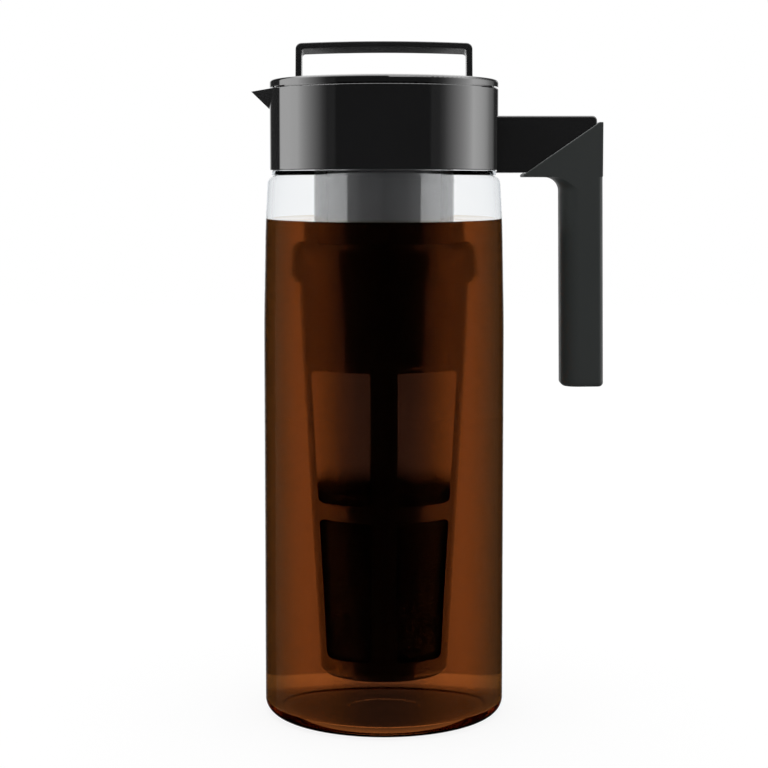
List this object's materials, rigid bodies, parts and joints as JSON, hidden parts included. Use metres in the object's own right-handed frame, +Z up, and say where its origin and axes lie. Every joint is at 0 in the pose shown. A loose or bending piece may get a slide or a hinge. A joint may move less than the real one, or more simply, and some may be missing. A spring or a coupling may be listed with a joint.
{
  "type": "cold brew coffee maker",
  "caption": "Tall clear brewing jar with a black pouring collar and side handle, a twist-in lid with a fold-down bail, and a screw-on mesh filter.",
  "frame": {"origin": "on the jar's axis, in the plane of the foot ring that the jar stands on", "axes": "+Z up along the jar's axis, +X towards the side handle, -X towards the spout, -Y towards the viewer of the picture"},
  "size_m": [0.1604, 0.1102, 0.3081],
  "materials": {
    "jar_clear": "clear, polished",
    "gloss_black": "high gloss black",
    "satin_black": "satin black",
    "soft_grip": "soft-touch, matt, dark greenish grey",
    "silicone": "translucent grey silicone",
    "tube_black": "gloss dark grey",
    "filter_plastic": "satin dark brown-black",
    "filter_mesh": "fine woven mesh",
    "screw_steel": "plain stainless steel"
  },
  "bodies": {
    "jar": {"jar_body": "jar_clear", "neck_gasket": "silicone", "spout_collar": "gloss_black", "handle_arm": "satin_black", "arm_screws": "screw_steel", "handle_grip": "soft_grip"},
    "lid_seals": {"lid_seal_upper": "silicone", "lid_seal_lower": "silicone"},
    "lid": {"lid_cap": "gloss_black", "lid_plug": "satin_black", "neck_tube": "tube_black", "tube_screws": "screw_steel"},
    "bail": {"bail_handle": "satin_black"},
    "filter_seal": {"filter_gasket": "silicone"},
    "filter": {"filter_ring": "filter_plastic", "filter_frame": "filter_plastic", "mesh_upper_1": "filter_mesh", "mesh_upper_2": "filter_mesh", "mesh_upper_3": "filter_mesh", "mesh_upper_4": "filter_mesh", "mesh_lower_1": "filter_mesh", "mesh_lower_2": "filter_mesh", "mesh_lower_3": "filter_mesh", "mesh_lower_4": "filter_mesh"}
  },
  "joints": [
    {"name": "lid_lift", "type": "slide", "parent": "jar", "child": "lid_seals", "axis": [0, 0, 1], "range_m": [0, 0.28]},
    {"name": "lid_twist", "type": "hinge", "parent": "lid_seals", "child": "lid", "pos_m": [0, 0, 0.277], "axis": [0, 0, -1], "range_deg": [0, 45]},
    {"name": "bail_fold", "type": "hinge", "parent": "lid", "child": "bail", "pos_m": [0, 0, 0.2853], "axis": [1, 0, 0], "range_deg": [0, 100]},
    {"name": "filter_drop", "type": "slide", "parent": "lid", "child": "filter_seal", "axis": [0, 0, -1], "range_m": [0, 0.0075]},
    {"name": "filter_unscrew", "type": "hinge", "parent": "filter_seal", "child": "filter", "pos_m": [0, 0, 0.2029], "axis": [0, 0, -1], "range_deg": [0, 540]}
  ],
  "couplings": [
    {"joint": "filter_drop", "follows": "filter_unscrew", "m_per_rad": 0.00079577}
  ]
}
